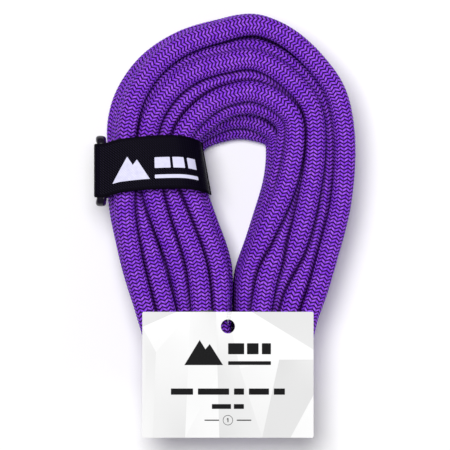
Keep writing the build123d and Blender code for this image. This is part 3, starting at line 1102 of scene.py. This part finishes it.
def emblem(x, y, size):
    """Outlines of a plain mark: a mountain beside two rows of blocks, in metres."""
    return [[(x + px * size, y + py * size) for px, py in PEAK],
            *(bar(x + middle * size, y + row * size, length * size, height * size)
              for middle, row, length, height in BLOCKS)]


def prints(name, shapes, surface, material, body, slot, lift, thick=0.05 * MM, cell=1.2 * MM, holes=()):
    """Ink shapes as one thin piece on a surface."""
    made = [sheet_between(f"{name}_{k}", shape, holes if k == 0 else [], lift, thick, surface, cell)
            for k, shape in enumerate(shapes)]
    return dress(joined(name, made), material, body, slot)


make_strap()
make_ring()
make_stitches()
make_closure()
mark_at = near_x(flap_strip, -35.2, FLAP_MID_Z)
prints("strap_print", emblem(mark_at, -2.0 * MM, 1.2 * MM), flap_strip.at, paints["strap_ink"], "flap", "webbing",
       STRAP_T / 2 * MM)


# card

card_low, card_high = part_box("tag_card")
CARD_CORNER = 0.8 * MM
CARD_HOLE_R = 3.5 * MM
CARD_HOLE_DROP = 7.25 * MM
CARD_CURL = 0.35 * MM
CARD_CELL = 4 * MM
CARD_MID = (card_low + card_high) / 2
LOOP_LEAN = 2.0 * MM
BEAD = [(-1.4, 0.25), (-1.35, 0.8), (-1.1, 1.0), (-0.5, 0.86), (0, 1.0), (0.5, 0.86), (1.1, 1.0), (1.35, 0.8),
        (1.4, 0.25)]
HOLE = (CARD_MID.x, card_high.y - CARD_HOLE_DROP)
# facets of the printed background: share of the card's width and height at each corner, and how pale the print is
FACETS = [
    [(0.20, 1, 0.30), (0, 1, 0.45), (0, 0.88, 0.35)],
    [(0.28, 1, 1), (0.20, 1, 0.95), (0, 0.88, 0.95), (0.08, 0.68, 0.85)],
    [(0.08, 0.68, 0.5), (0, 0.88, 0.7), (0, 0, 0.9), (0.06, 0, 0.75)],
    [(0.28, 1, 1), (0.08, 0.68, 0.75), (0.06, 0, 0.65), (0.25, 0, 0.4)],
    [(0.43, 1, 0.55), (0.28, 1, 0.8), (0.25, 0, 0.95), (0.44, 0.5, 0.85)],
    [(0.44, 0.5, 0.9), (0.25, 0, 0.8), (0.45, 0, 0.95)],
    [(0.50, 1, 1), (0.43, 1, 0.85), (0.44, 0.5, 0.35), (0.45, 0, 0.3), (0.70, 0, 0.6), (0.57, 0.55, 0.6)],
    [(0.64, 1, 1), (0.50, 1, 1), (0.57, 0.55, 0.9), (0.80, 0.62, 0.95), (1, 0.62, 0.95), (1, 0.70, 1)],
    [(1, 1, 0.35), (0.64, 1, 0.3), (1, 0.70, 0.45)],
    [(0.80, 0.62, 0.9), (0.57, 0.55, 0.75), (0.70, 0, 0.7)],
    [(1, 0.62, 0.5), (0.80, 0.62, 0.2), (0.70, 0, 0.3), (0.865, 0, 0.35), (1, 0.34, 0.3)],
    [(1, 0.34, 1), (0.865, 0, 0.9), (1, 0, 0.95)],
]


def card_face(x, y, z):
    """Places on the card, whose lower corners lift a little."""
    across = (x - CARD_MID.x) / (card_high.x - CARD_MID.x)
    down = (card_high.y - y) / (card_high.y - card_low.y)
    return np.stack([x, y, z + CARD_CURL * across ** 2 * down ** 2], -1)


def make_card():
    """The card, cut into its printed facets, with a punched hole and rounded corners."""
    width, height, thick = (card_high[k] - card_low[k] for k in range(3))
    outline = bar(CARD_MID.x, CARD_MID.y, width, height, CARD_CORNER / MM)
    hole = circle(*HOLE, CARD_HOLE_R, 48)
    facets = [[(card_low.x + u * width, card_low.y + v * height) for u, v, _ in facet] for facet in FACETS]
    half = CARD_CELL / 2
    extra = product(np.arange(card_low.x + half, card_high.x, CARD_CELL),
                    np.arange(card_low.y + half, card_high.y, CARD_CELL))
    card = closed_sheet("swing_card", *cut_flat([outline, hole], facets, extra), card_low.z, thick, card_face)

    # how pale the print is at each corner, from the corners of its facet
    values = np.ones(len(card.data.loops), np.float32)
    for polygon in card.data.polygons:
        part = next((k for k, facet in enumerate(facets) if inside(tuple(polygon.center[:2]), [facet])), None)
        if part is None or polygon.normal.z < 0.5:
            continue
        tones = np.array([tone for _, _, tone in FACETS[part]])
        for index in polygon.loop_indices:
            place = card.data.vertices[card.data.loops[index].vertex_index].co
            weights = 1 / (np.sum((np.array(facets[part]) - place[:2]) ** 2, axis=1) + (2 * MM) ** 2)
            values[index] = float(weights @ tones / weights.sum())
    card.data.attributes.new("tone", "FLOAT", "CORNER").data.foreach_set("value", values)
    edge = card.modifiers.new("edge", "BEVEL")
    edge.width = 0.08 * MM
    edge.segments = 2
    edge.limit_method = "ANGLE"
    dress(card, paints["card"], "tag", "card", "tag_card")


def words(y, height, lengths, gap):
    """A centred row of bars that stands for a line of print."""
    starts = CARD_MID.x - (sum(lengths) + gap * (len(lengths) - 1)) / 2 + np.cumsum([0, *lengths[:-1]])
    return [bar(start + gap * k + length / 2, y, length, height, 0.25)
            for k, (start, length) in enumerate(zip(starts, lengths))]


def make_card_print():
    """Generic mark, rows of bars in place of wording, and a circled 1."""
    top = card_high.z
    shapes = emblem(CARD_MID.x - 0.4 * MM, card_high.y - 20.2 * MM, 1.25 * MM)
    shapes += words(card_high.y - 39.6 * MM, 3.1 * MM, [v * MM for v in (11, 15.5, 5, 10, 5.5)], 2.4 * MM)
    shapes += words(card_high.y - 47 * MM, 2.4 * MM, [9.5 * MM, 5 * MM], 1.4 * MM)
    line = card_high.y - 53.8 * MM
    shapes += [bar(CARD_MID.x + side * 8 * MM, line, 7.2 * MM, 0.55 * MM, 0.1) for side in (-1, 1)]
    shapes.append([(CARD_MID.x + x * MM, line + y * MM) for x, y in DIGIT])
    prints("card_print", shapes, card_face, paints["ink"], "tag", "card", top)
    ring, inner = (circle(CARD_MID.x, line, radius * MM, 56) for radius in (2.5, 2.25))
    prints("card_circle", [ring], card_face, paints["ink"], "tag", "card", top, holes=[inner], cell=None)


def make_loop():
    """Clear nylon line through the card's hole, over its edge and down between the legs, and the bead that locks it."""
    low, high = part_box("tag_loop")
    middle = (low + high) / 2
    reach = (high.y - low.y) / 2 - 0.3 * MM
    angle = np.linspace(0, 2 * math.pi, 73)[:-1]
    wave = reach * (1 - 0.03 * np.sin(3 * angle + 1))
    lowered = np.clip(-np.sin(angle), 0, 1)
    path = np.stack([middle.x + LOOP_LEAN * lowered, middle.y - wave * np.cos(angle),
                     middle.z + wave * np.sin(angle)], -1)
    line = Line(np.concatenate([path, path[:1]]))
    rows = [(d, 0.2 * MM) for d in line.at[:-1]]
    dress(turned("nylon_line", line, rows, around=12, closed=True), paints["nylon"], "hank", "nylon", "tag_loop")
    low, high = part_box("tag_lock")
    lock = (low + high) / 2
    at = float(line.at[int(np.argmin(np.abs(line.points[:, 1:] - np.array(lock)[1:]).sum(1)))])
    rows = [(at + d * MM, r * MM) for d, r in BEAD]
    dress(turned("nylon_bead", line, rows, around=24), paints["nylon"], "hank", "nylon", "tag_lock")


make_card()
make_card_print()
make_loop()


# light

SKY = 0.18
LAMPS = [("over", (-0.1, 0.16, 1.0), 0.4, 9.6), ("side", (0.7, -0.3, 0.6), 0.4, 1.6)]


def studio():
    """Pale floor, pale surroundings and soft lamps over the hank."""
    floor = mesh_object("floor", [(-3, -3, 0), (3, -3, 0), (3, 3, 0), (-3, 3, 0)], [(0, 1, 2, 3)], smooth=False)
    paint = Paint("pale_floor")
    color = paint.mix(paint.noise(3.0), (0.96, 0.96, 0.96, 1), (0.98, 0.98, 0.98, 1))
    floor.data.materials.append(paint.made(color, 0.9))
    floor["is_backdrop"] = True
    scene = bpy.context.scene
    scene.world = bpy.data.worlds.new("studio")
    scene.world.use_nodes = True
    sky = scene.world.node_tree.nodes["Background"]
    sky.inputs[0].default_value = (1, 1, 1, 1)
    sky.inputs[1].default_value = SKY
    for name, place, size, power in LAMPS:
        data = bpy.data.lights.new(name, "AREA")
        data.shape = "SQUARE"
        data.size = size
        data.energy = power
        lamp = linked(name, data)
        lamp.location = place
        lamp.rotation_euler = (-Vector(place)).to_track_quat("-Z", "Y").to_euler()
    scene.view_settings.view_transform = "Standard"


studio()

low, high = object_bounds()
